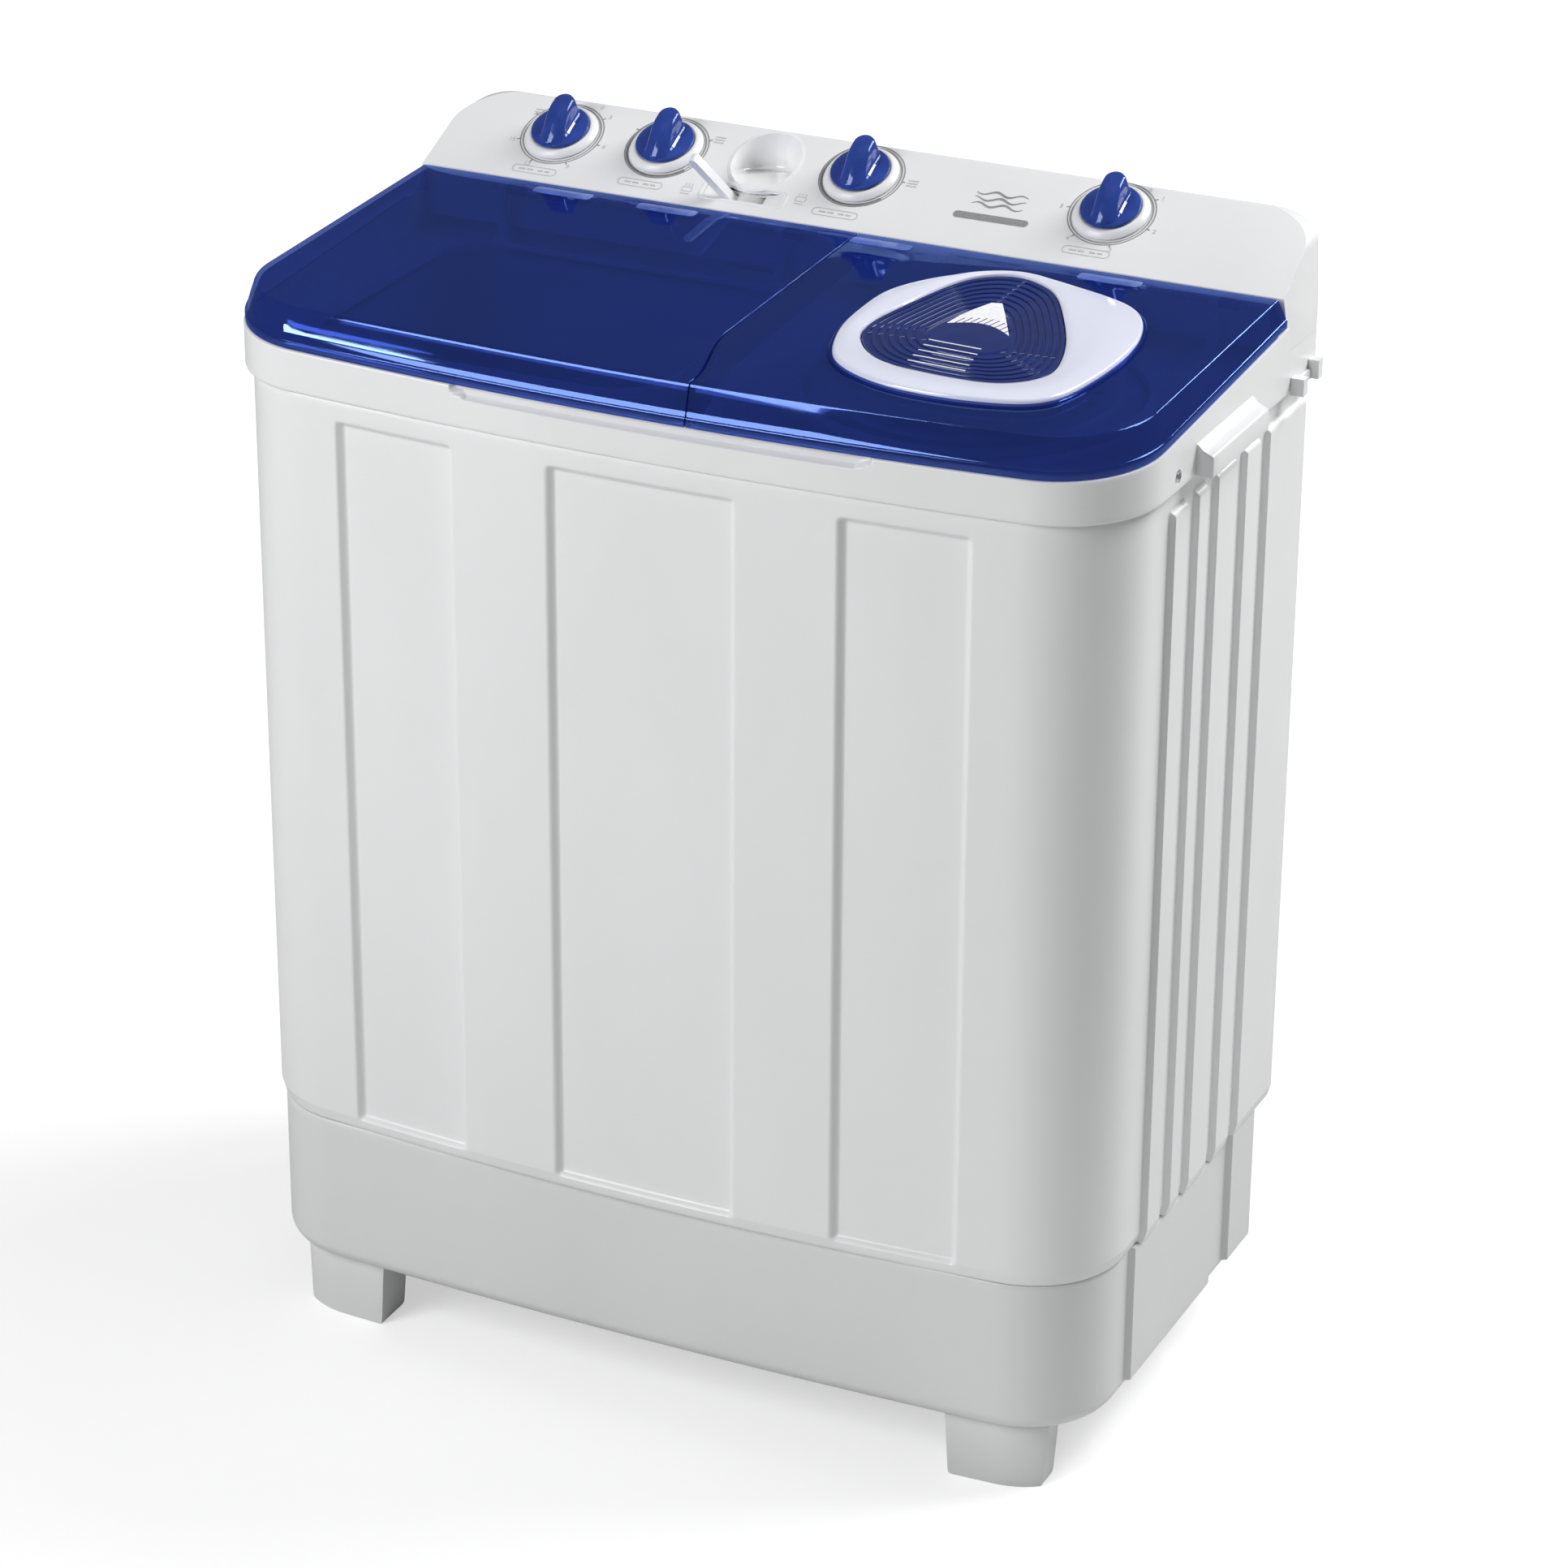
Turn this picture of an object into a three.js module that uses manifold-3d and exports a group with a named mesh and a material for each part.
// Twin tub washing machine: a wash tub with a pulsator on the left, a spin basket on the right.
// Millimetres, +Z up, -Y towards the person using it, origin on the floor under the middle.
import * as THREE from "three";
import { mergeVertices } from "three/addons/utils/BufferGeometryUtils.js";
import Module from "manifold-3d";

const wasm = await Module();
wasm.setup();

// ---------------------------------------------------------------- driving dimensions
const GAP = 0.3; // clearance kept between pieces that touch
const WALL = 3; // moulded wall thickness

const BODY = { halfWidth: 376, front: -216.5, rear: 216.5, bow: 21.5, frontRadius: 82, rearRadius: 32 };
const SIDE_RAISE = 5; // raised side panels stand this far out from the body sides
const FOOT_HEIGHT = 55;
const BODY_BOTTOM = 189;
const BODY_TOP = 824;
const RECESS_TOP = 808;
const RECESS_DEPTH = 6;

const BASE = { halfWidth: 371, front: -209, rear: 192, bow: 12, frontRadius: 78, rearRadius: 30 };
const BASE_ROUNDING = 16;
const FRAME = { halfWidth: 383, front: -219.5, rear: 219.5, bow: 21.5, frontRadius: 85, rearRadius: 34 };
const DECK_TOP = 850;
const DECK_UNDER = 846;
const RIM_HEIGHT = 871.4; // top of the frame rim at Y = 0, and its slope
const RIM_SLOPE = 0.064;
const LID = { halfWidth: 382, front: -218.5, rear: 126, bow: 21.5, frontRadius: 84, rearRadius: 0 };
const LID_HEIGHT = 898; // top of the lids at Y = 0, and its slope
const LID_SLOPE = 0.037;
const LIP_HEIGHT = 8;
const HINGE = { y: 120.5, z: 895.5, rod: 1.9, knuckle: 5, post: 3.2 };

const CONSOLE_BOTTOM = 860;
const FACE = { y: 129.8, z: 902, slope: THREE.MathUtils.degToRad(27) };
const CONSOLE_REAR = 219.5;

const WASH = { x: -175, y: -27, left: -338, right: -12, front: -172, rear: 118, floor: 335, radius: 50 };
const SPIN = { x: 196, y: -40, tubRadius: 148, tubFloor: 430, basketRadius: 122, basketFloor: 452 };
const BASKET_TOP = 800;
const BELT_PLANE = 180;
const WASH_MOTOR = { x: -300, y: 98, radius: 55, bottom: 205, top: 305 };
const PULLEY_RADIUS = 80;
const MOTOR_PULLEY_RADIUS = 14;
const DRAIN = { x: 14, y: 158 };
const GLAND = { x: -250, z: 270 };

// ---------------------------------------------------------------- materials
const PAINTS = {
  white: { color: 0xe4e5e6, roughness: 0.4, metalness: 0 },
  shade: { color: 0xd5d7d9, roughness: 0.45, metalness: 0 },
  lid: { color: 0x1f3a96, roughness: 0.12, metalness: 0 },
  grip: { color: 0x1a3fa6, roughness: 0.2, metalness: 0 },
  natural: { color: 0xd9dcdf, roughness: 0.5, metalness: 0 },
  basket: { color: 0xcfd8e4, roughness: 0.4, metalness: 0 },
  steel: { color: 0xb4b8bc, roughness: 0.35, metalness: 1 },
  cast: { color: 0x6c7075, roughness: 0.6, metalness: 0.8 },
  black: { color: 0x1d1e20, roughness: 0.7, metalness: 0 },
  rubber: { color: 0x26272a, roughness: 0.85, metalness: 0 },
};

const machine = new THREE.Group();
const face = new THREE.Group(); // local X along the console, Y up its slope, Z out of its face
face.position.set(0, FACE.y, FACE.z);
face.rotation.x = FACE.slope;
machine.add(face);
face.updateMatrixWorld(true);

function add(name, paint, geometry, parent = machine) {
  const mesh = new THREE.Mesh(geometry, new THREE.MeshStandardMaterial(PAINTS[paint]));
  mesh.name = name;
  parent.add(mesh);
  return mesh;
}

// ---------------------------------------------------------------- solids and booleans
function toSolid(geometry) {
  const bare = geometry.clone();
  bare.deleteAttribute("normal");
  bare.deleteAttribute("uv");
  const merged = mergeVertices(bare, 1e-4);
  const mesh = new wasm.Mesh({
    numProp: 3,
    vertProperties: new Float32Array(merged.attributes.position.array),
    triVerts: new Uint32Array(merged.index.array),
  });
  return new wasm.Manifold(mesh);
}

function toGeometry(solid) {
  const mesh = solid.getMesh();
  const geometry = new THREE.BufferGeometry();
  geometry.setAttribute("position", new THREE.BufferAttribute(new Float32Array(mesh.vertProperties), 3));
  geometry.setIndex(new THREE.BufferAttribute(new Uint32Array(mesh.triVerts), 1));
  return geometry;
}

function join(first, ...others) {
  return toGeometry(others.reduce((sum, other) => sum.add(toSolid(other)), toSolid(first)));
}

function cut(first, ...tools) {
  return toGeometry(tools.reduce((rest, tool) => rest.subtract(toSolid(tool)), toSolid(first)));
}

function common(first, ...others) {
  return toGeometry(others.reduce((sum, other) => sum.intersect(toSolid(other)), toSolid(first)));
}

function box(x0, x1, y0, y1, z0, z1) {
  const geometry = new THREE.BoxGeometry(x1 - x0, y1 - y0, z1 - z0);
  return geometry.translate((x0 + x1) / 2, (y0 + y1) / 2, (z0 + z1) / 2);
}

function drum(radius, z0, z1, x = 0, y = 0, sides = 24) {
  const geometry = new THREE.CylinderGeometry(radius, radius, z1 - z0, sides);
  return geometry.rotateX(Math.PI / 2).translate(x, y, (z0 + z1) / 2);
}

function barX(radius, x0, x1, y, z, sides = 12) {
  const geometry = new THREE.CylinderGeometry(radius, radius, x1 - x0, sides);
  return geometry.rotateZ(Math.PI / 2).translate((x0 + x1) / 2, y, z);
}

function barY(radius, y0, y1, x, z, sides = 12) {
  const geometry = new THREE.CylinderGeometry(radius, radius, y1 - y0, sides);
  return geometry.translate(x, (y0 + y1) / 2, z);
}

function prism(points, z0, z1) {
  const shape = new THREE.Shape(points);
  const geometry = new THREE.ExtrudeGeometry(shape, { depth: z1 - z0, bevelEnabled: false });
  return geometry.translate(0, 0, z0);
}

// Turned about a vertical line; the profile is [radius, height] pairs.
function turned(profile, x = 0, y = 0, sides = 24) {
  const points = profile.map(([radius, height]) => new THREE.Vector2(radius, height));
  const geometry = new THREE.LatheGeometry(points, sides).rotateX(Math.PI / 2).translate(x, y, 0);
  return outward(geometry);
}

function ringProfile(inner, outer, z0, z1) {
  return [[inner, z0], [outer, z0], [outer, z1], [inner, z1], [inner, z0]];
}

function signedVolume(geometry) {
  const at = geometry.attributes.position;
  const index = geometry.index;
  const [a, b, c] = [new THREE.Vector3(), new THREE.Vector3(), new THREE.Vector3()];
  let volume = 0;
  for (let i = 0; i < index.count; i += 3) {
    a.fromBufferAttribute(at, index.getX(i));
    b.fromBufferAttribute(at, index.getX(i + 1));
    c.fromBufferAttribute(at, index.getX(i + 2));
    volume += a.dot(b.cross(c)) / 6;
  }
  return volume;
}

// Welds a geometry and turns its faces outwards.
function outward(geometry) {
  geometry.deleteAttribute("normal");
  geometry.deleteAttribute("uv");
  const welded = mergeVertices(geometry, 1e-4);
  const corners = welded.index.array;
  const kept = [];
  const flip = signedVolume(welded) < 0;
  for (let i = 0; i < corners.length; i += 3) {
    const [a, b, c] = [corners[i], corners[i + 1], corners[i + 2]];
    if (a === b || b === c || c === a) continue;
    kept.push(a, flip ? c : b, flip ? b : c);
  }
  welded.setIndex(kept);
  return welded;
}

// A solid through a stack of rings with equal point counts, closed over the first and last ring.
function stack(rings) {
  const count = rings[0].length;
  const positions = rings.flat().flatMap((p) => [p.x, p.y, p.z]);
  const index = [];
  for (let r = 0; r + 1 < rings.length; r++) {
    for (let i = 0; i < count; i++) {
      const j = (i + 1) % count;
      const [a, b, c, d] = [r * count + i, r * count + j, (r + 1) * count + j, (r + 1) * count + i];
      index.push(a, b, c, a, c, d);
    }
  }
  const flat = (ring) => ring.map((p) => new THREE.Vector2(p.x, p.y));
  const capFaces = (ring) => THREE.ShapeUtils.triangulateShape(flat(ring), []);
  const clockwise = THREE.ShapeUtils.isClockWise(rings[0]);
  const last = (rings.length - 1) * count;
  for (const [a, b, c] of capFaces(rings[0])) index.push(...(clockwise ? [a, b, c] : [a, c, b]));
  for (const [a, b, c] of capFaces(rings[rings.length - 1])) {
    index.push(...(clockwise ? [last + a, last + c, last + b] : [last + a, last + b, last + c]));
  }
  const geometry = new THREE.BufferGeometry();
  geometry.setAttribute("position", new THREE.Float32BufferAttribute(positions, 3));
  geometry.setIndex(index);
  return outward(geometry);
}

// ---------------------------------------------------------------- plan outlines
function frontLine(plan, x) {
  return plan.front + plan.bow * (x / plan.halfWidth) ** 2;
}

function arc(centreX, centreY, radius, from, to, steps) {
  const points = [];
  for (let i = 0; i <= steps; i++) {
    const angle = from + ((to - from) * i) / steps;
    points.push(new THREE.Vector2(centreX + radius * Math.cos(angle), centreY + radius * Math.sin(angle)));
  }
  return points;
}

// The right front corner, from the bowed front round to the side.
function frontCorner(plan, steps = 5) {
  const { halfWidth, frontRadius: radius, bow } = plan;
  const tilt = Math.atan((2 * bow * (halfWidth - radius)) / halfWidth ** 2);
  const tangentX = halfWidth - radius + radius * Math.sin(tilt);
  const centreY = frontLine(plan, tangentX) + radius * Math.cos(tilt);
  return arc(halfWidth - radius, centreY, radius, tilt - Math.PI / 2, 0, steps);
}

function mirrored(points) {
  return points.map((p) => new THREE.Vector2(-p.x, p.y)).reverse();
}

// Half of the outline, from the front centre line round to the rear.
function halfOutline(plan) {
  const corner = frontCorner(plan);
  const front = [0, 0.25, 0.5, 0.75].map((t) => {
    const x = t * corner[0].x;
    return new THREE.Vector2(x, frontLine(plan, x));
  });
  const { halfWidth, rear, rearRadius: radius } = plan;
  const back = arc(halfWidth - radius, rear - radius, radius, 0, Math.PI / 2, 3);
  return [...front, ...corner, ...back];
}

function outline(plan) {
  const right = halfOutline(plan);
  return [...mirrored(right).slice(0, -1), ...right];
}

function shrunk(plan, by) {
  return {
    halfWidth: plan.halfWidth - by,
    front: plan.front + by,
    rear: plan.rear - by,
    bow: plan.bow,
    frontRadius: plan.frontRadius - by,
    rearRadius: Math.max(plan.rearRadius - by, 0.5),
  };
}

function roundedRectangle(x0, x1, y0, y1, radius, steps = 4) {
  const quarter = Math.PI / 2;
  return [
    ...arc(x1 - radius, y0 + radius, radius, -quarter, 0, steps),
    ...arc(x1 - radius, y1 - radius, radius, 0, quarter, steps),
    ...arc(x0 + radius, y1 - radius, radius, quarter, 2 * quarter, steps),
    ...arc(x0 + radius, y0 + radius, radius, 2 * quarter, 3 * quarter, steps),
  ];
}

function atHeight(points, height) {
  return points.map((p) => new THREE.Vector3(p.x, p.y, typeof height === "function" ? height(p.y) : height));
}

const rimHeight = (y) => RIM_HEIGHT + RIM_SLOPE * y;
const lidHeight = (y) => LID_HEIGHT + LID_SLOPE * y;

// ---------------------------------------------------------------- body, base and feet
const RAISED_PANELS = [[-94, -63], [-46, -22], [-6, 37], [53, 86], [102, BODY.rear - BODY.rearRadius]];
const FRONT_RECESSES = [[-268, -161], [-80, 80], [161, 268]];

// A shallow panel pressed into the bowed front, with sloping ends; grown, it is the panel's inner face.
function frontRecess([left, right], grown = 0) {
  const [x0, x1, draft] = [left - grown, right + grown, 3];
  const inner = [0, 0.33, 0.67, 1].map((t) => {
    const x = x0 + draft + (x1 - x0 - 2 * draft) * t;
    return new THREE.Vector2(x, frontLine(BODY, x) + RECESS_DEPTH + grown);
  });
  const mouth = [[x1, frontLine(BODY, x1) - 1], [x1, BODY.front - 20], [x0, BODY.front - 20],
    [x0, frontLine(BODY, x0) - 1]].map(([x, y]) => new THREE.Vector2(x, y));
  return prism([...inner, ...mouth], BODY_BOTTOM - 10, RECESS_TOP + grown);
}

function sidePanel([y0, y1], side, halfWidth, bottom, top) {
  const draft = 2.5;
  const points = [[halfWidth - WALL, y0], [halfWidth, y0], [halfWidth + SIDE_RAISE, y0 + draft],
    [halfWidth + SIDE_RAISE, y1 - draft], [halfWidth, y1], [halfWidth - WALL, y1]];
  return prism(points.map(([x, y]) => new THREE.Vector2(side * x, y)), bottom, top);
}

function bodyShell() {
  const panels = [-1, 1].flatMap((side) =>
    RAISED_PANELS.map((range) => sidePanel(range, side, BODY.halfWidth, BODY_BOTTOM, RECESS_TOP)));
  const solid = join(prism(outline(BODY), BODY_BOTTOM, BODY_TOP - GAP), ...panels);
  const hollow = cut(prism(outline(shrunk(BODY, WALL)), BODY_BOTTOM - 5, BODY_TOP + 5),
    ...FRONT_RECESSES.map((range) => frontRecess(range, WALL)));
  const rearOpening = box(-330, 330, BODY.rear - 30, BODY.rear + 10, 235, 775);
  return cut(solid, hollow, ...FRONT_RECESSES.map((range) => frontRecess(range)), rearOpening);
}
add("body_shell", "white", bodyShell());

const rearCoverPlate = box(-328, 328, BODY.rear - 3, BODY.rear - 0.5, 237, 773);
const coverVents = [300, 318, 336, 354, 372].map((z) =>
  box(120, 260, BODY.rear - 10, BODY.rear + 5, z, z + 6));
add("rear_cover", "shade", cut(rearCoverPlate, ...coverVents, barY(8.5, 190, 230, GLAND.x, GLAND.z)));

function baseTray() {
  const panels = [-1, 1].flatMap((side) => [[-104, 70], [108, BASE.rear - BASE.rearRadius]].map((range) =>
    sidePanel(range, side, BASE.halfWidth, FOOT_HEIGHT + 12, BODY_BOTTOM - 1)));
  const rounding = [0, 1, 2, 3, 4].map((i) => {
    const angle = (Math.PI / 8) * i;
    const inset = BASE_ROUNDING * (1 - Math.sin(angle));
    return atHeight(outline(shrunk(BASE, inset)), FOOT_HEIGHT + BASE_ROUNDING * (1 - Math.cos(angle)));
  });
  const rounded = stack([...rounding, atHeight(outline(BASE), BODY_BOTTOM - GAP)]);
  const collar = prism(outline(shrunk(BASE, 9)), BODY_BOTTOM - 10, BODY_BOTTOM + 14);
  const tray = prism(outline(shrunk(BASE, 5)), FOOT_HEIGHT + BASE_ROUNDING, BODY_BOTTOM - 3);
  const sump = prism(outline(shrunk(BASE, 14)), FOOT_HEIGHT + 4, BODY_BOTTOM + 30);
  return cut(join(rounded, ...panels, collar), tray, sump, barY(14.5, 150, 230, 60, 110));
}
add("base", "white", baseTray());

function foot(x, y) {
  const [width, depth, taper] = [82, 57, 2];
  const ring = (inset, z) => atHeight(roundedRectangle(
    x - width / 2 + inset, x + width / 2 - inset, y - depth / 2 + inset, y + depth / 2 - inset, 10, 3), z);
  const block = stack([ring(taper + 2, 0), ring(taper, 3), ring(0, FOOT_HEIGHT - GAP)]);
  return common(block, prism(outline(shrunk(BASE, 11)), -5, FOOT_HEIGHT));
}
const FOOT_X = 296;
const FOOT_FRONT = -173;
const FOOT_REAR = 113;
add("foot_front_left", "white", foot(-FOOT_X, FOOT_FRONT));
add("foot_front_right", "white", foot(FOOT_X, FOOT_FRONT));
add("foot_rear_left", "white", foot(-FOOT_X, FOOT_REAR));
add("foot_rear_right", "white", foot(FOOT_X, FOOT_REAR));

// ---------------------------------------------------------------- top frame with its deck
const DECK_OPENING_RADIUS = 118;
const HINGE_POSTS = { wash: [-300, -50], spin: [92, 320] };
const HANDLE = { reach: 397, front: -61, rear: 54, top: 843, bottom: 825 };

function sideHandle(side) {
  const profile = [[FRAME.halfWidth - 2, HANDLE.top + 8], [HANDLE.reach - 3, HANDLE.top],
    [HANDLE.reach, HANDLE.top - 2], [HANDLE.reach, HANDLE.bottom], [FRAME.halfWidth - 2, HANDLE.bottom]];
  const shape = profile.map(([x, z]) => new THREE.Vector2(side * x, z));
  const length = HANDLE.rear - HANDLE.front;
  const ledge = prism(shape, 0, length).rotateX(Math.PI / 2).translate(0, HANDLE.rear, 0);
  const [fingerFront, fingerRear] = [HANDLE.front + 4, HANDLE.rear - 4];
  const fingers = box(FRAME.halfWidth, HANDLE.reach - 3, fingerFront, fingerRear, 820, HANDLE.top - 5);
  const hollow = side > 0 ? fingers : fingers.scale(-1, 1, 1);
  return cut(outward(ledge), outward(hollow));
}

function hingePost(x) {
  const leg = box(x, x + 8, HINGE.y - HINGE.post, HINGE.y + HINGE.post, DECK_UNDER + 1, HINGE.z);
  const eye = barX(HINGE.post, x, x + 8, HINGE.y, HINGE.z);
  return join(leg, eye);
}

function topFrame() {
  const skirt = stack([atHeight(outline(FRAME), BODY_TOP), atHeight(outline(FRAME), rimHeight)]);
  const seat = box(-400, 400, FACE.y - GAP, 300, CONSOLE_BOTTOM - GAP, 1000);
  const dish = prism(outline(shrunk(FRAME, 9)), DECK_TOP, 1000);
  const hollow = prism(outline(shrunk(FRAME, 5)), BODY_TOP - 5, DECK_UNDER);
  const washOpening = prism(roundedRectangle(-326, -24, -160, 104, 42), 800, 900);
  const spinOpening = drum(DECK_OPENING_RADIUS, 800, 900, SPIN.x, SPIN.y, 28);
  const passages = [[-112, -56], [2, 26], [150, 206]].map(([x0, x1]) => box(x0, x1, 146, 202, 800, 900));
  const scallop = prism([[-147, 0], [175, 0], [190, 6.5], [190, 20], [-160, 20], [-160, 6.5]]
    .map(([x, z]) => new THREE.Vector2(x, z)), 0, 7).rotateX(Math.PI / 2).translate(0, FRAME.front + 7, 847);
  const screwNotches = [-1, 1].map((side) => barX(6, side * 390 - 8.5, side * 390 + 8.5, -96, 836));
  const openings = [washOpening, spinOpening, ...passages];
  const shell = cut(skirt, seat, dish, hollow, ...openings, outward(scallop), ...screwNotches);
  const collar = turned(ringProfile(DECK_OPENING_RADIUS + 12, DECK_OPENING_RADIUS + 15, DECK_UNDER + 1, 858),
    SPIN.x, SPIN.y, 28);
  const posts = [...HINGE_POSTS.wash, ...HINGE_POSTS.spin].map(hingePost);
  const body = join(shell, collar, ...posts, sideHandle(1), sideHandle(-1));
  return cut(body, barX(HINGE.rod + GAP, -340, 340, HINGE.y, HINGE.z));
}
add("top_frame", "white", topFrame());

for (const [side, name] of [[-1, "left"], [1, "right"]]) {
  const head = barX(4.2, side > 0 ? 381.8 : -384.4, side > 0 ? 384.4 : -381.8, -96, 836, 12);
  add(`side_screw_${name}`, "steel", head);
}

const clipStrip = box(383 + GAP, 386, 137, 184, 825, 833);
const clipBlocks = [box(383 + GAP, 394, 137, 146, 823, 837), box(383 + GAP, 392, 175, 184, 825, 840)];
add("hose_clip", "white", join(clipStrip, ...clipBlocks));

// ---------------------------------------------------------------- console
// The console's outer form, or with an inset the cavity in it.
function consoleForm(inset, bottom) {
  const rear = CONSOLE_REAR - inset;
  const halfWidth = FRAME.halfWidth - inset;
  const radius = FRAME.rearRadius - inset;
  const plan = [new THREE.Vector2(-halfWidth, FACE.y + inset), new THREE.Vector2(halfWidth, FACE.y + inset),
    ...arc(halfWidth - radius, rear - radius, radius, 0, Math.PI / 2, 5),
    ...arc(-halfWidth + radius, rear - radius, radius, Math.PI / 2, Math.PI, 5)];
  const top = FACE.z + (CONSOLE_REAR - FACE.y) * Math.tan(FACE.slope) - inset;
  const [shoulder, shoulderWidth, shoulderDrop] = [375 - inset, 62, 22];
  const right = [new THREE.Vector2(halfWidth, bottom), new THREE.Vector2(377 - inset, FACE.z)];
  for (let i = 0; i <= 8; i++) {
    const angle = (Math.PI / 2) * (i / 8);
    right.push(new THREE.Vector2(shoulder - shoulderWidth * (1 - Math.cos(angle)),
      top - shoulderDrop * (1 - Math.sin(angle))));
  }
  const front = [...right, ...right.map((p) => new THREE.Vector2(-p.x, p.y)).reverse()];
  const elevation = prism(front, 0, 200).rotateX(Math.PI / 2).translate(0, 300, 0);
  const drop = inset / Math.cos(FACE.slope);
  const slopeHeight = (y) => FACE.z + (y - FACE.y) * Math.tan(FACE.slope) - drop;
  const section = [[FACE.y + inset, bottom], [rear, bottom], [rear, top - 4],
    [rear - 2, top - 1], [rear - 7, Math.min(top, slopeHeight(rear - 7))],
    [FACE.y + inset, slopeHeight(FACE.y + inset)]];
  const side = prism(section.map(([y, z]) => new THREE.Vector2(y, z)), -400, 400);
  const turn = new THREE.Matrix4().makeBasis(new THREE.Vector3(0, 1, 0), new THREE.Vector3(0, 0, 1),
    new THREE.Vector3(1, 0, 0));
  return common(prism(plan, bottom, 1000), outward(elevation), outward(side.applyMatrix4(turn)));
}

const KNOBS = [
  { name: "wash_timer", x: -273, v: 56 },
  { name: "wash_selector", x: -178, v: 58.5 },
  { name: "drain_selector", x: -4, v: 60.5 },
  { name: "spin_timer", x: 211.5, v: 61.5 },
];
const BOWL = { x: -89, y: 184, radius: 30, floor: 914 };
const LEVER = { x: -92, v: 21, pivotDepth: 26, tilt: THREE.MathUtils.degToRad(31.5), reach: 72 };

function onFace(geometry) {
  return geometry.applyMatrix4(face.matrixWorld);
}

function consoleHousing() {
  const outer = consoleForm(0, CONSOLE_BOTTOM);
  const cavity = consoleForm(WALL, CONSOLE_BOTTOM - 5);
  const back = box(-300, 300, CONSOLE_REAR - 8, CONSOLE_REAR + 5, 868, 930);
  const stems = KNOBS.map((knob) => onFace(drum(7, -20, 20, knob.x, knob.v, 12)));
  const bowl = drum(BOWL.radius + GAP, BOWL.floor - 30, 1000, BOWL.x, BOWL.y, 28);
  const slot = onFace(box(LEVER.x - 34, LEVER.x + 34, LEVER.v - 8, LEVER.v + 8, -20, 20));
  return cut(outer, cavity, back, ...stems, bowl, slot);
}
add("console", "white", consoleHousing());

add("console_back", "shade", cut(
  box(-298, 298, CONSOLE_REAR - 2.7, CONSOLE_REAR, 870, 928),
  ...[0, 1, 2, 3].map((i) => box(-60 + 32 * i, -38 + 32 * i, 210, 230, 893, 899))));

function inletBowl() {
  const facePlane = onFace(box(-400, 400, -200, 300, -400, 0));
  const cup = common(drum(BOWL.radius, BOWL.floor - 3, 990, BOWL.x, BOWL.y, 28), facePlane);
  const pipe = drum(16, BOWL.floor - 24, BOWL.floor - 2, BOWL.x, BOWL.y, 20);
  return cut(join(cup, pipe),
    drum(BOWL.radius - 2.5, BOWL.floor, 1000, BOWL.x, BOWL.y, 28),
    drum(13, BOWL.floor - 40, BOWL.floor + 5, BOWL.x, BOWL.y, 20));
}
add("inlet_bowl", "white", inletBowl());

function inletLever() {
  const paddle = prism(roundedRectangle(-3.5, 3.5, 0, LEVER.reach, 3.4, 3), -3, 6).rotateX(Math.PI / 2);
  const hub = barY(6.5, -7, 4, 0, 0);
  const diverter = box(-10, 10, -7, 3, -15, -12);
  const stalk = box(-3, 3, -5, 2, -14, 0);
  const lever = join(outward(paddle), hub, diverter, stalk);
  return lever.rotateY(-LEVER.tilt).translate(LEVER.x, LEVER.v, -LEVER.pivotDepth);
}
add("inlet_lever", "white", inletLever(), face);

// ---------------------------------------------------------------- knobs and what they turn
const SKIRT_RADIUS = 31;
const GRIP_RADIUS = 24.5;

function knobSkirt(knob) {
  const profile = [[5.6, 1], [SKIRT_RADIUS, 1], [SKIRT_RADIUS, 2.4], [27.5, 6], [26, 6.4], [5.6, 6.4],
    [5.6, 1]];
  return turned(profile, knob.x, knob.v, 24);
}

// The finger grip is a wedge that rises from the front of the cap to its rear end.
function knobGrip(knob) {
  const base = turned([[0, 6.8], [GRIP_RADIUS, 6.8], [GRIP_RADIUS, 8.4], [GRIP_RADIUS - 3, 10.4], [0, 11.6]],
    knob.x, knob.v, 20);
  const section = (half, front, rear, height) =>
    atHeight(roundedRectangle(-half, half, front, rear, half - 0.1, 3), height);
  const wedge = stack([section(10.5, -22, 24.3, 9), section(9.6, -14, 24.3, 15), section(9, -3, 23.8, 21.5),
    section(6.5, 4, 21.5, 25)]);
  const stem = drum(5, -7.5, 8, knob.x, knob.v, 12);
  return join(base, wedge.translate(knob.x, knob.v, 0), stem);
}

for (const knob of KNOBS) {
  add(`${knob.name}_skirt`, "white", knobSkirt(knob), face);
  add(`${knob.name}_grip`, "grip", knobGrip(knob), face);
}

function switchBox({ x, v }, height) {
  const housing = box(x - 21, x + 21, v - 19, v + 19, -8 - height, -8);
  const neck = drum(9, -9, -3.3, x, v, 16);
  return cut(join(housing, neck), drum(5.4, -8.5, 0, x, v, 16));
}
add("wash_timer_case", "natural", switchBox(KNOBS[0], 24), face);
add("wash_selector_switch", "natural", switchBox(KNOBS[1], 16), face);
add("spin_timer_case", "natural", switchBox(KNOBS[3], 24), face);

const drainKnob = KNOBS[2];
const camDisc = drum(15, -16, -8, drainKnob.x, drainKnob.v, 24);
const camPin = drum(4, -24, -15, drainKnob.x + 9, drainKnob.v, 12);
add("drain_cam", "natural", join(camDisc, camPin), face);

// ---------------------------------------------------------------- lids
const SPLIT_X = 20;
const SPLIT_X_FRONT = 40;

// The line between the lids is straight, then swings to the right near the front.
function splitLine(y) {
  const t = THREE.MathUtils.clamp((-108 - y) / 100, 0, 1);
  return SPLIT_X + (SPLIT_X_FRONT - SPLIT_X) * t * t * (3 - 2 * t);
}

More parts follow.
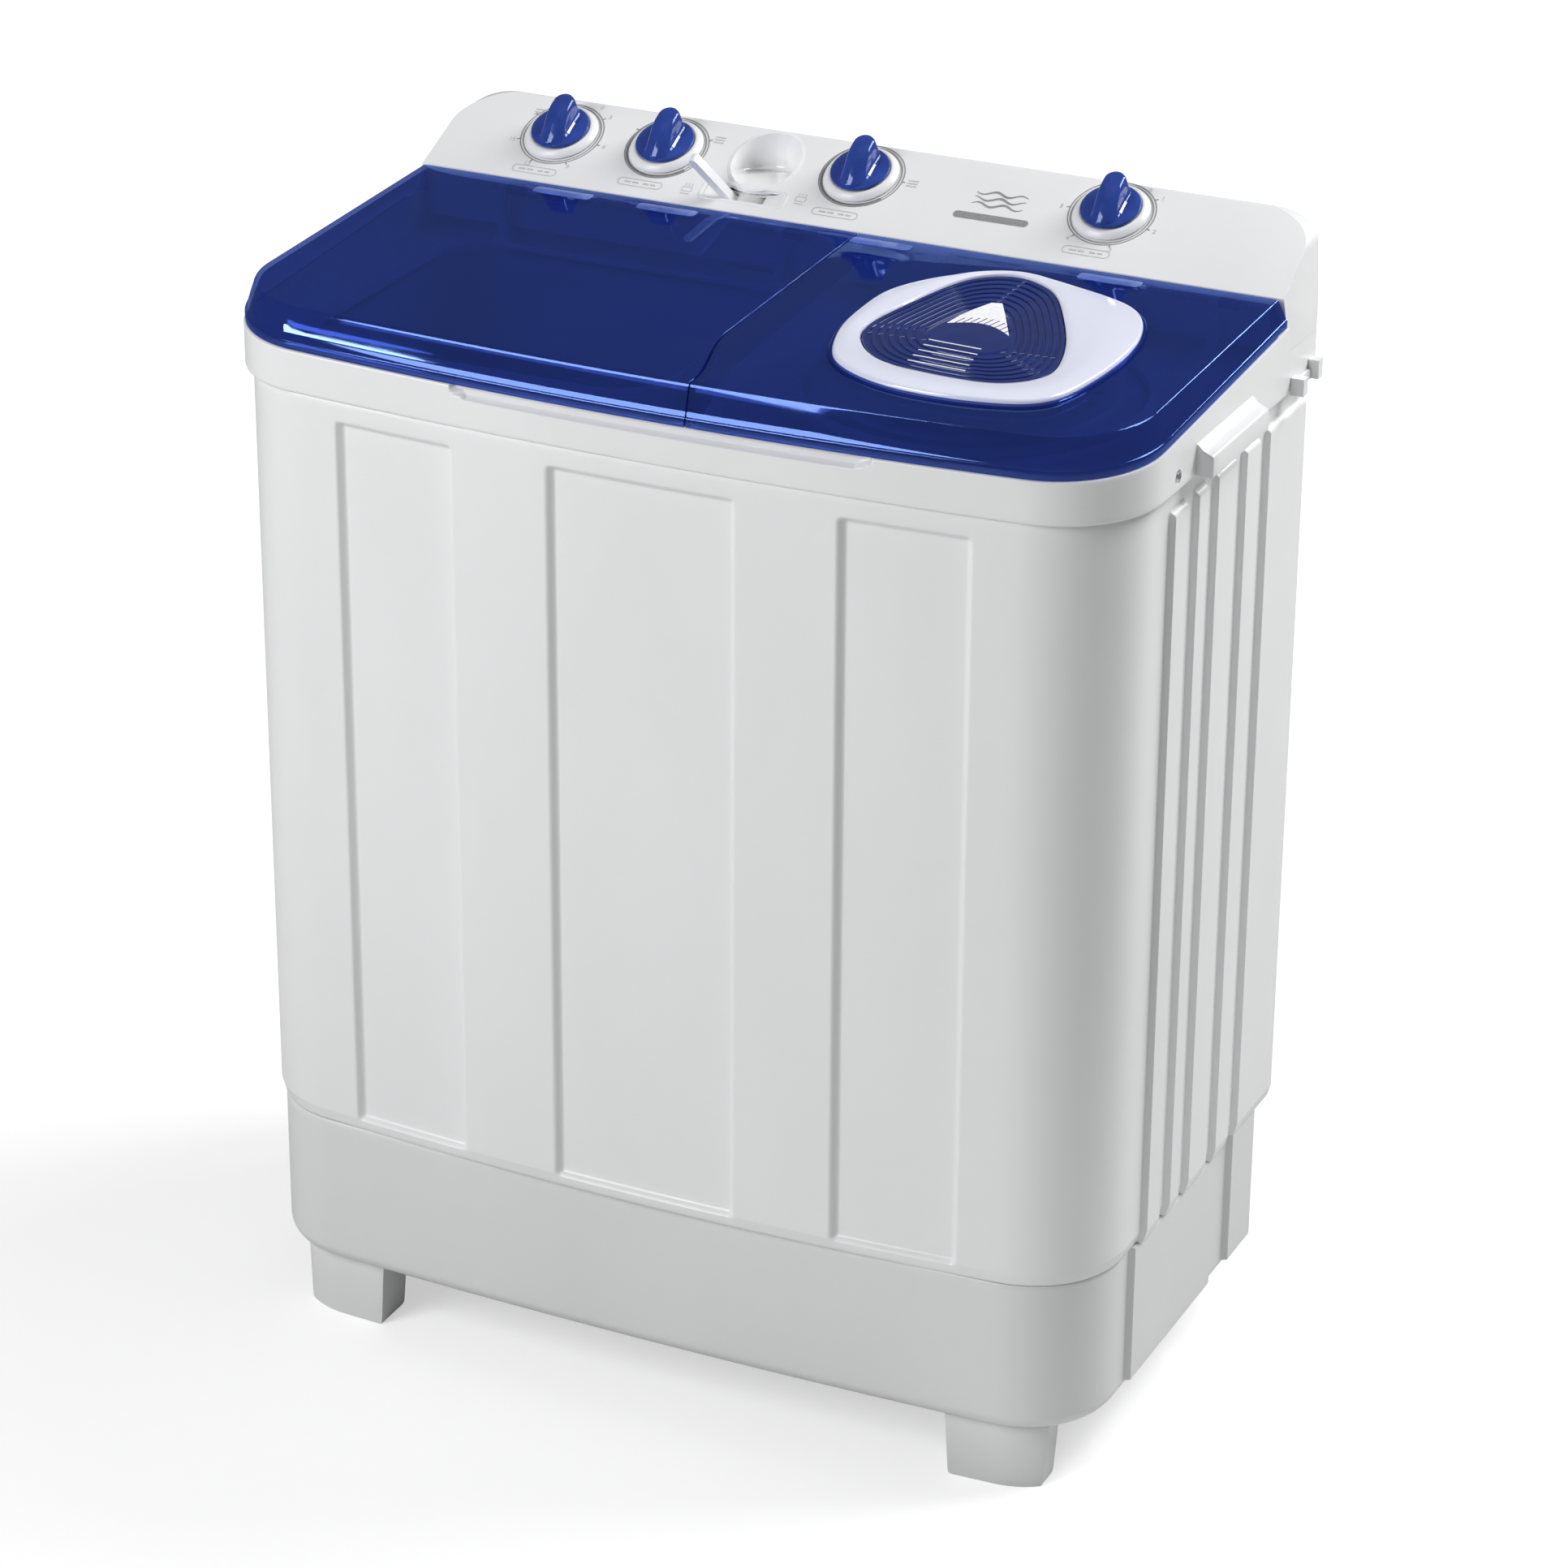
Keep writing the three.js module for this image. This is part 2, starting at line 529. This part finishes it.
// One lid's outline; side is -1 for the wash lid and 1 for the spin lid.
function lidOutline(side, inset, endInset) {
  const plan = { ...shrunk(LID, inset), rear: LID.rear - endInset };
  const corner = frontCorner(plan).reverse();
  const outer = [new THREE.Vector2(plan.halfWidth, plan.rear), ...corner]
    .map((p) => new THREE.Vector2(side * p.x, p.y));
  const edge = (y) => splitLine(y) + side * (0.6 + endInset);
  const frontEnd = edge(plan.front);
  const start = outer[outer.length - 1].x;
  const front = [0.25, 0.5, 0.75].map((t) => {
    const x = start + (frontEnd - start) * t;
    return new THREE.Vector2(x, frontLine(plan, x));
  });
  const splitEnds = [plan.front + 0.3, -185, -158, -130, -108, plan.rear];
  return [...outer, ...front, ...splitEnds.map((y) => new THREE.Vector2(edge(y), y))];
}

const CREASE_INSET = 8.5; // the top of a lid is set in this far from its lip
function lidShell(side) {
  const thickness = 3;
  const ring = (inset, endInset, height) => atHeight(lidOutline(side, inset, endInset), height);
  const shell = stack([
    ring(CREASE_INSET + thickness, thickness, (y) => lidHeight(y) - thickness),
    ring(thickness + 0.5, thickness, (y) => rimHeight(y) + LIP_HEIGHT),
    ring(thickness + 0.5, thickness, (y) => rimHeight(y) + GAP),
    ring(0, 0, (y) => rimHeight(y) + GAP),
    ring(0, 0, (y) => rimHeight(y) + LIP_HEIGHT),
    ring(CREASE_INSET, 0, lidHeight),
  ]);
  const [x0, x1] = side < 0 ? [4 - LID.halfWidth, SPLIT_X + 3] : [SPLIT_X - 3, LID.halfWidth - 4];
  const rearClearance = box(x0, x1, HINGE.y, 140, 800, lidHeight(HINGE.y) - thickness);
  const swingClearance = box(-400, 400, HINGE.y - 14, 140, 800, rimHeight(HINGE.y) + 1.8);
  const posts = side < 0 ? HINGE_POSTS.wash : HINGE_POSTS.spin;
  const knuckles = posts.map((x) => barX(HINGE.knuckle, x + 9, x + 24, HINGE.y, HINGE.z));
  const lid = join(cut(shell, rearClearance, swingClearance), ...knuckles);
  return cut(lid, barX(HINGE.rod + GAP, -352, 352, HINGE.y, HINGE.z, 12));
}
add("wash_lid", "lid", lidShell(-1));
add("wash_hinge_rod", "steel", barX(HINGE.rod, -306, -20, HINGE.y, HINGE.z, 10));
add("spin_hinge_rod", "steel", barX(HINGE.rod, 86, 350, HINGE.y, HINGE.z, 10));

// The drying vent in the spin lid lies in the lid's own slope.
const VENT = { x: 208, y: -45 };
const VENT_POINTS = [[-107, -42], [-113, 10], [-107, 62], [-70, 112], [-26, 131], [20, 122], [80, 95],
  [103, 46], [104, -40], [86, -98], [38, -117], [-36, -115], [-86, -87]];
const GRILLE_POINTS = [[-92, -28], [-83, 42], [-60, 107], [-32, 124], [2, 110], [38, 54], [66, -14],
  [70, -56], [46, -82], [-6, -87], [-60, -74]];
const GRILLE_CENTRE = [-14, 2];

// A smooth closed outline through the given points, made larger or smaller about a centre.
function smoothLoop(points, [x0, y0], scale, steps) {
  const knots = points.map(([x, y]) => new THREE.Vector3(x - x0, y - y0, 0));
  const curve = new THREE.CatmullRomCurve3(knots, true);
  return curve.getPoints(steps).slice(0, -1)
    .map((p) => new THREE.Vector2(x0 + p.x * scale, y0 + p.y * scale));
}
const ventOutline = smoothLoop(VENT_POINTS, [0, 0], 1, 28);
const grilleOutline = (scale) => smoothLoop(GRILLE_POINTS, GRILLE_CENTRE, scale, 24);

const vent = new THREE.Group();
vent.position.set(VENT.x, VENT.y, lidHeight(VENT.y));
vent.rotation.x = Math.atan(LID_SLOPE);
machine.add(vent);
vent.updateMatrixWorld(true);

const lidHole = prism(grilleOutline(1.015), -20, 20).applyMatrix4(vent.matrixWorld);
add("spin_lid", "lid", cut(lidShell(1), lidHole));
add("air_vent_frame", "white", cut(prism(ventOutline, GAP, 5.5), prism(grilleOutline(1), -5, 10)), vent);

function ventGrille() {
  const plate = prism(grilleOutline(0.99), -2.5, 4.5);
  const slots = [0.87, 0.73, 0.59].map((scale) =>
    cut(prism(grilleOutline(scale), -10, 10), prism(grilleOutline(scale - 0.06), -15, 15)));
  const spokes = [20, 140, 260].map((degrees) => {
    const spoke = box(0, 200, -7, 7, -20, 20).rotateZ(THREE.MathUtils.degToRad(degrees));
    return spoke.translate(...GRILLE_CENTRE, 0);
  });
  return cut(plate, ...slots.map((slot) => cut(slot, ...spokes)));
}
add("air_vent_grille", "lid", ventGrille(), vent);

// ---------------------------------------------------------------- wash side
function washTub() {
  const ring = (inset, z) => atHeight(roundedRectangle(WASH.left + inset, WASH.right - inset,
    WASH.front + inset, WASH.rear - inset, WASH.radius - Math.min(inset, 20)), z);
  const shell = stack([
    ring(22, WASH.floor + 4), ring(10, WASH.floor + 18), ring(WALL, DECK_UNDER - GAP),
    ring(0, DECK_UNDER - GAP), ring(7, WASH.floor + 14), ring(20, WASH.floor),
  ]);
  return cut(shell, drum(22, 300, 360, WASH.x, WASH.y, 20), drum(14, 300, 360, -60, 85, 16));
}
add("wash_tub", "natural", washTub());

function pulsator() {
  const disc = turned([[0, 344], [118, 344], [118, 348], [108, 352], [60, 356], [30, 366], [9, 368], [9, 363],
    [0, 363]], WASH.x, WASH.y, 28);
  const fins = [0, 1, 2, 3].map((i) => {
    const fin = box(18, 106, -7, 7, 348, 372).rotateZ((i * Math.PI) / 2 + 0.3);
    return fin.translate(WASH.x, WASH.y, 0);
  });
  const shaft = drum(6, 312, 346, WASH.x, WASH.y, 16);
  return join(disc, ...fins, shaft);
}
add("pulsator", "natural", pulsator());
add("pulsator_screw", "steel", drum(6, 363 + GAP, 370, WASH.x, WASH.y, 12));

const lintSlots = [0, 1, 2, 3, 4, 5].map((i) => box(-236 + 16 * i, -228 + 16 * i, 80, 130, 640, 730));
add("lint_filter", "natural", cut(box(-246, -150, 97, 111, 620, 750), box(-242, -154, 100, 120, 624, 746),
  ...lintSlots));
const coverSlots = Array.from({ length: 7 }, (_, i) => box(-50, -10, -70, 10, 372 + 22 * i, 380 + 22 * i));
add("overflow_cover", "natural", cut(box(-34, -22.5, -90, 30, 366, 800), box(-31.5, -10, -86, 26, 370, 796),
  ...coverSlots));

add("gearbox", "cast", turned([[8, 204], [52, 204], [54, 208], [54, 250], [44, 262], [26, 268], [20, 275],
  [20, 334.7], [8, 334.7], [8, 204]], WASH.x, WASH.y, 28));

function grooved(radius, flange, shaftTop, x, y, sides) {
  const [low, high] = [BELT_PLANE - 4, BELT_PLANE + 4];
  const wheel = turned([[0, low - 4], [flange, low - 4], [flange, low - 1], [radius, low], [radius, high],
    [flange, high + 1], [flange, high + 4], [0, high + 4]], x, y, sides);
  return join(wheel, drum(6, high + 3, shaftTop, x, y, 16));
}
add("gearbox_pulley", "cast", grooved(PULLEY_RADIUS, PULLEY_RADIUS + 6, 300, WASH.x, WASH.y, 32));
add("motor_pulley", "steel", grooved(MOTOR_PULLEY_RADIUS, MOTOR_PULLEY_RADIUS + 6, 230,
  WASH_MOTOR.x, WASH_MOTOR.y, 20));

// A loop round both pulleys: two arcs joined by straight runs.
function beltLoop(offset) {
  const along = new THREE.Vector2(WASH_MOTOR.x - WASH.x, WASH_MOTOR.y - WASH.y);
  const heading = along.angle();
  const [large, small] = [PULLEY_RADIUS + offset, MOTOR_PULLEY_RADIUS + offset];
  const lean = Math.acos((large - small) / along.length());
  return [
    ...arc(WASH.x, WASH.y, large, heading + lean, heading + 2 * Math.PI - lean, 24),
    ...arc(WASH_MOTOR.x, WASH_MOTOR.y, small, heading - lean, heading + lean, 8),
  ];
}
add("v_belt", "rubber", cut(prism(beltLoop(5), BELT_PLANE - 3.7, BELT_PLANE + 3.7),
  prism(beltLoop(0.4), BELT_PLANE - 10, BELT_PLANE + 10)));

const motorBody = turned([[8, WASH_MOTOR.bottom], [40, WASH_MOTOR.bottom], [WASH_MOTOR.radius, 216],
  [WASH_MOTOR.radius, 294], [40, WASH_MOTOR.top], [0, WASH_MOTOR.top], [0, 240], [8, 240],
  [8, WASH_MOTOR.bottom]], WASH_MOTOR.x, WASH_MOTOR.y, 28);
add("wash_motor", "cast", motorBody);

function driveBracket() {
  const plate = prism(roundedRectangle(-356, -80, -95, 165, 20, 3), 197, 203.6);
  const legs = [[-346, -80], [-346, 140], [-89, -86], [-89, 140]].map(([x, y]) =>
    box(x - 7, x + 7, y - 7, y + 7, FOOT_HEIGHT + 4 + GAP, 198));
  const shaftHoles = [drum(20, 190, 210, WASH.x, WASH.y), drum(16, 190, 210, WASH_MOTOR.x, WASH_MOTOR.y)];
  return cut(join(plate, ...legs), ...shaftHoles);
}
add("drive_bracket", "steel", driveBracket());

// ---------------------------------------------------------------- drain
function drainValve() {
  const chamber = drum(20, 292, 345, DRAIN.x, DRAIN.y, 24);
  const inlet = join(drum(12, 306, 334.6, -60, 85, 16), box(-72, -48, 73, 97, 298, 308));
  const channelAcross = box(-60, DRAIN.x, 79, 91, 298, 308);
  const channelBack = box(DRAIN.x - 6, DRAIN.x + 6, 79, DRAIN.y - 10, 298, 308);
  return cut(join(chamber, inlet, channelAcross, channelBack), drum(16, 305, 400, DRAIN.x, DRAIN.y, 24));
}
add("drain_valve", "natural", drainValve());
const valveHead = drum(14, 306, 316, DRAIN.x, DRAIN.y, 20);
const pullRod = drum(2.5, 315, 880, DRAIN.x, DRAIN.y, 10);
const rodEye = drum(7, 874, 880, DRAIN.x, DRAIN.y, 16);
add("drain_plunger", "natural", join(valveHead, pullRod, rodEye));

const outletRoute = [[14, 158, 291.7], [14, 158, 240], [18, 154, 180], [40, 152, 130], [56, 162, 112],
  [60, 185, 110], [60, 214, 110]];
const outletCurve = new THREE.CatmullRomCurve3(outletRoute.map(([x, y, z]) => new THREE.Vector3(x, y, z)));
const pipeSection = new THREE.Shape(arc(0, 0, 12, 0, 2 * Math.PI, 8).slice(0, -1));
const outletPipe = new THREE.ExtrudeGeometry(pipeSection, { steps: 14, extrudePath: outletCurve });
add("drain_outlet", "black", outward(outletPipe));

// ---------------------------------------------------------------- spin side
function spinTub() {
  const [inner, outer] = [SPIN.tubRadius, SPIN.tubRadius + WALL];
  const [floor, top] = [SPIN.tubFloor, DECK_UNDER - GAP];
  const profile = [[36, floor], [outer - 8, floor], [outer, floor + 8], [outer, top], [inner, top],
    [inner, floor + 9], [inner - 6, floor + WALL], [36, floor + WALL], [36, floor]];
  return turned(profile, SPIN.x, SPIN.y, 28);
}
add("spin_tub", "natural", spinTub());

function spinBasket() {
  const [outer, floor] = [SPIN.basketRadius, SPIN.basketFloor];
  const profile = [[8, floor], [outer - 10, floor], [outer - 1, floor + 10], [outer, BASKET_TOP],
    [outer - 2.5, BASKET_TOP], [outer - 3.5, floor + 11], [outer - 12, floor + 3], [30, floor + 3],
    [22, floor + 34], [8, floor + 38], [8, floor]];
  const shell = turned(profile, SPIN.x, SPIN.y, 28);
  const holes = [];
  for (const row of [0, 1, 2]) {
    for (const i of [0, 1, 2, 3]) {
      const hole = barX(6, -140, 140, 0, 530 + 80 * row, 4);
      holes.push(hole.rotateZ(((i + row / 2) * Math.PI) / 4).translate(SPIN.x, SPIN.y, 0));
    }
  }
  return cut(shell, ...holes);
}
add("spin_basket", "basket", spinBasket());
add("balance_ring", "white", turned([[104, 800.3], [125, 800.3], [126, 804], [125, 820], [110.5, 822],
  [110, 807], [104, 806], [104, 800.3]], SPIN.x, SPIN.y, 28));

// Six upright holes round the spin axis, for cutting through a disc.
function holeCircle(radius, z0, z1) {
  return [0, 1, 2, 3, 4, 5].map((i) => {
    const angle = (i * Math.PI) / 3;
    return drum(9, z0, z1, SPIN.x + radius * Math.cos(angle), SPIN.y + radius * Math.sin(angle), 8);
  });
}
const capDisc = turned([[0, 807.3], [109, 807.3], [109, 810], [0, 810]], SPIN.x, SPIN.y, 28);
const capGrip = box(SPIN.x - 35, SPIN.x + 35, SPIN.y - 4, SPIN.y + 4, 809, 826);
add("spin_press_cap", "basket", join(cut(capDisc, ...holeCircle(75, 790, 830)), capGrip));

add("spin_shaft", "steel", turned([[0, 238], [7, 238], [7, 262], [38, 262], [38, 290], [16, 292], [16, 315],
  [7.5, 320], [7.5, 484], [0, 486]], SPIN.x, SPIN.y, 24));

add("shaft_bellows", "rubber", turned([[8.2, 396], [22, 396], [30, 402], [22, 408], [30, 414],
  [24, 420], [42, 424], [42, 429.7], [16, 429.7], [8.2, 420], [8.2, 396]], SPIN.x, SPIN.y, 20));

const coverProfile = [[0, 850.4], [129.5, 850.4], [129.5, 853], [112, 854], [110, 858], [0, 860]];
const innerCover = turned(coverProfile, SPIN.x, SPIN.y, 28);
const coverGrip = box(SPIN.x - 30, SPIN.x + 30, SPIN.y - 4, SPIN.y + 4, 858, 872);
add("spin_inner_cover", "natural", join(cut(innerCover, ...holeCircle(80, 840, 870)), coverGrip));

add("spin_motor", "cast", turned([[0, 122], [44, 122], [60, 134], [60, 222], [44, 234], [16, 237.7],
  [0, 237.7]], SPIN.x, SPIN.y, 28));

function mountSpring(angle) {
  const [turns, coil, bottom, top] = [3, 11, FOOT_HEIGHT + 7, 119.5];
  const points = [];
  for (let i = 0; i <= 10 * turns; i++) {
    const turn = (2 * Math.PI * i) / 10;
    const height = bottom + ((top - bottom) * i) / (10 * turns);
    points.push(new THREE.Vector3(coil * Math.cos(turn), coil * Math.sin(turn), height));
  }
  const path = new THREE.CatmullRomCurve3(points);
  const section = new THREE.Shape(arc(0, 0, 2.2, 0, 2 * Math.PI, 4).slice(0, -1));
  const spring = new THREE.ExtrudeGeometry(section, { steps: 30, extrudePath: path });
  return outward(spring.translate(SPIN.x + 30 * Math.cos(angle), SPIN.y + 30 * Math.sin(angle), 0));
}
for (const i of [0, 1, 2]) {
  add(`motor_spring_${i + 1}`, "steel", mountSpring((i * 2 * Math.PI) / 3 + Math.PI / 2));
}

const BRAKE = { x: 250, y: 34 };
const brakeShoe = box(237, 244, -58, -22, 266, 286);
const brakeArm = box(243, 250, -50, BRAKE.y, 272, 280);
const brakeHub = drum(8, 268, 284, BRAKE.x, BRAKE.y, 16);
add("brake_lever", "steel", join(brakeShoe, brakeArm, brakeHub));

// ---------------------------------------------------------------- cord entry
const glandFlange = barY(12, 216.5, 219.3, GLAND.x, GLAND.z, 16);
const glandNeck = barY(8, 205, 217, GLAND.x, GLAND.z, 16);
add("cord_gland", "black", cut(join(glandFlange, glandNeck), barY(4, 200, 225, GLAND.x, GLAND.z, 12)));

export default machine;
